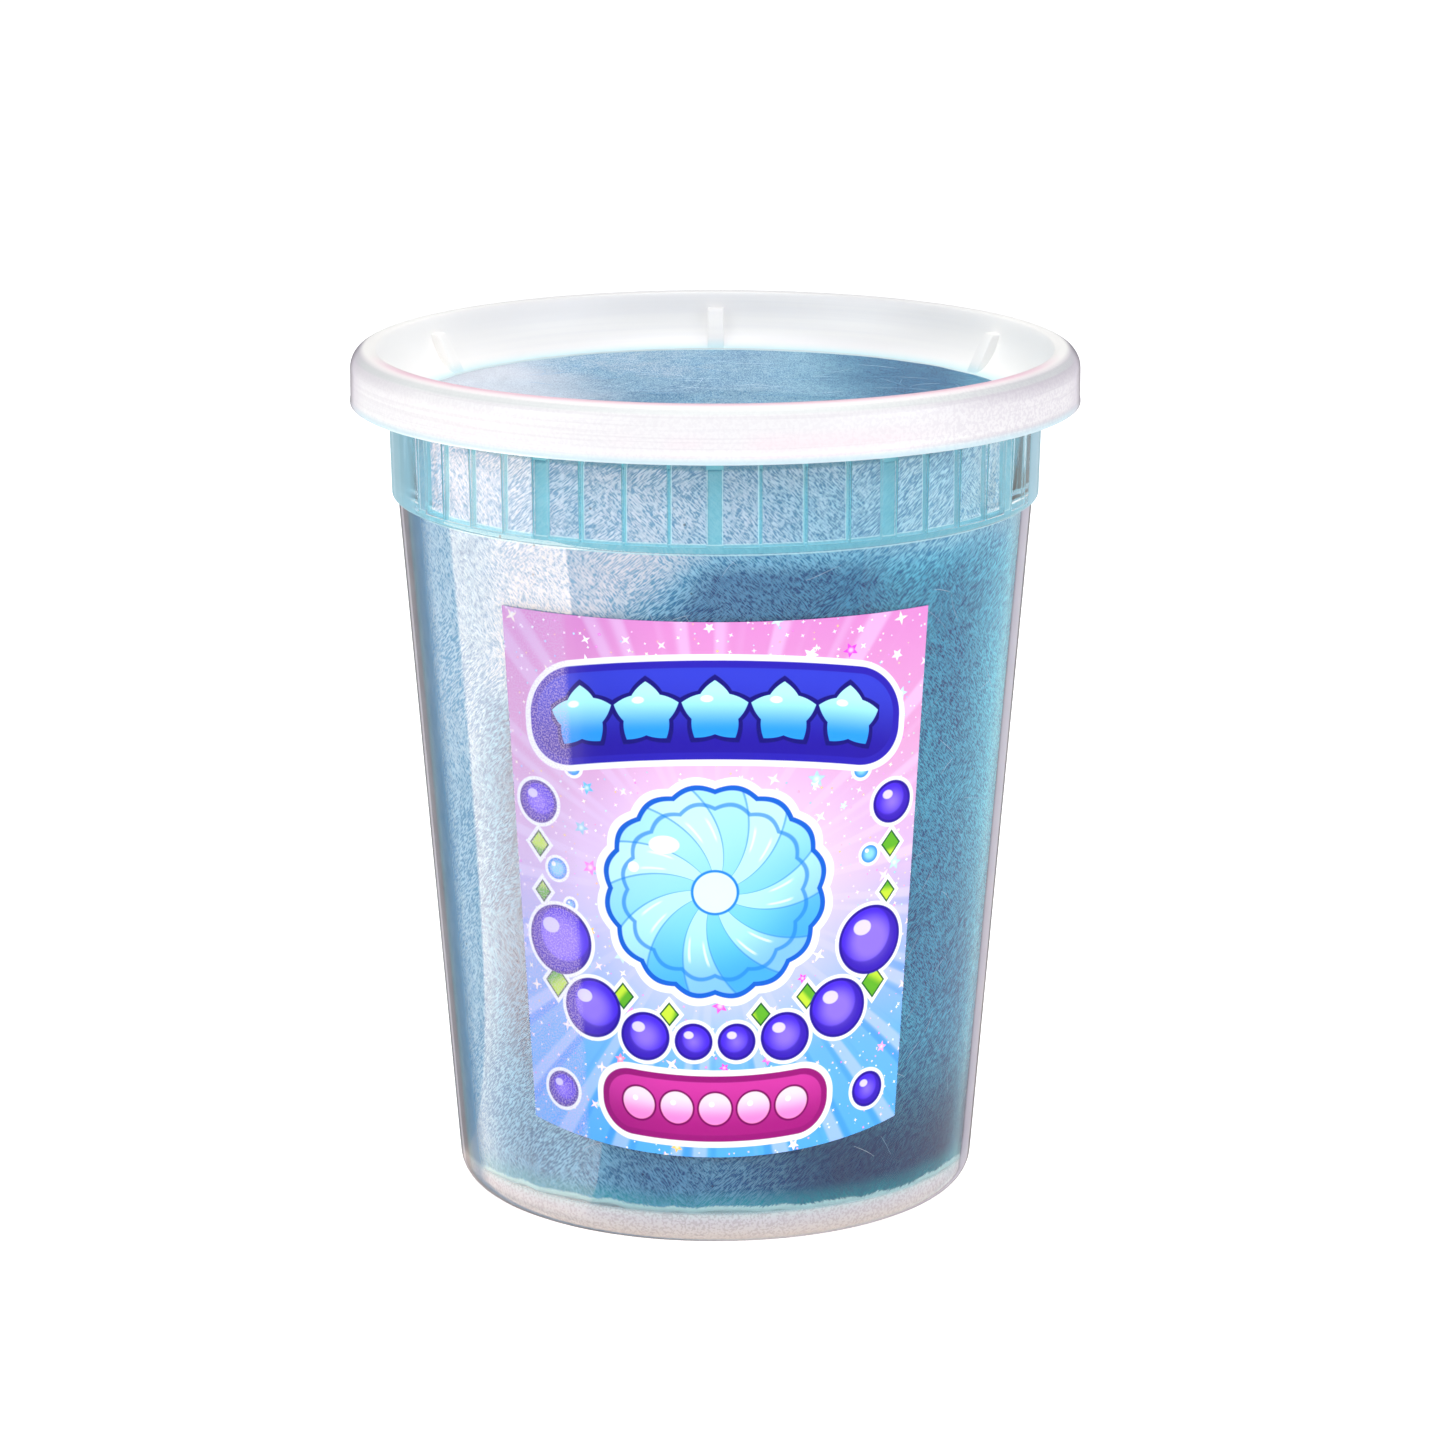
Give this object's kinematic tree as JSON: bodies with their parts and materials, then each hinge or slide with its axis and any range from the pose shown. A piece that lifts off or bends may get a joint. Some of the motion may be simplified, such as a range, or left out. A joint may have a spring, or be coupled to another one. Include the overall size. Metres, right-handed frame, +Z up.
{
  "type": "tub of cotton candy",
  "caption": "Clear round deli tub packed with blue cotton candy, shut by a translucent snap lid, with a plain printed label on its wall.",
  "frame": {"origin": "middle of the tub's foot, on the surface it stands on", "axes": "+Z up along the tub's turning axis, -Y the front, where the middle of the label faces"},
  "size_m": [0.1204, 0.1204, 0.142],
  "materials": {
    "clear_plastic": "clear glossy polypropylene",
    "lid_plastic": "translucent satin white",
    "spun_sugar": "fine fluffy sugar fibre, sky blue",
    "label_film": "semi-gloss printed film, pink to blue"
  },
  "bodies": {
    "root": {"tub": "clear_plastic", "lid": "lid_plastic", "cotton_candy": "spun_sugar", "label": "label_film"}
  },
  "joints": []
}
